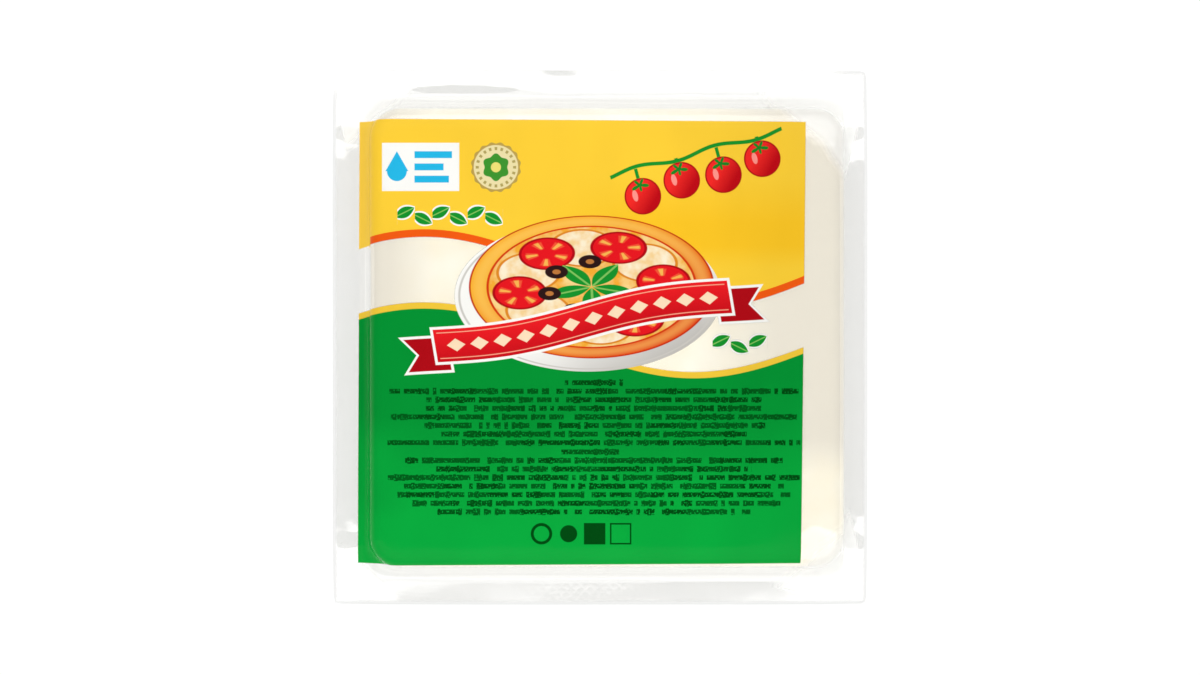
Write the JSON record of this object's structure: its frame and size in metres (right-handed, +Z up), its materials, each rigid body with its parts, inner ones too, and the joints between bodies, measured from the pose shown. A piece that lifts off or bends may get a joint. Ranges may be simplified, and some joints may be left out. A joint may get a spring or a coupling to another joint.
{
  "type": "vacuum-packed mozzarella cheese",
  "caption": "Square flat slab of mozzarella cheese, vacuum-sealed in clear film with a printed face and a thin sealed rim all round.",
  "frame": {"origin": "under the middle of the square sealed rim, at the level of the flat base the pack rests on", "axes": "+Z up through the pack's thickness; +Y towards the upper edge of the printed face; +X to its right"},
  "size_m": [0.142, 0.142, 0.026],
  "materials": {
    "film_pack": "glossy clear film drawn tight over ivory cheese",
    "printed_film": "glossy clear film with a square of printed colour fields on its face",
    "clear_film": "glossy clear formed film with a fine embossed seal",
    "cheese": "soft moist ivory cheese, faintly mottled"
  },
  "bodies": {
    "root": {"sealed_pack": "film_pack"}
  },
  "joints": []
}
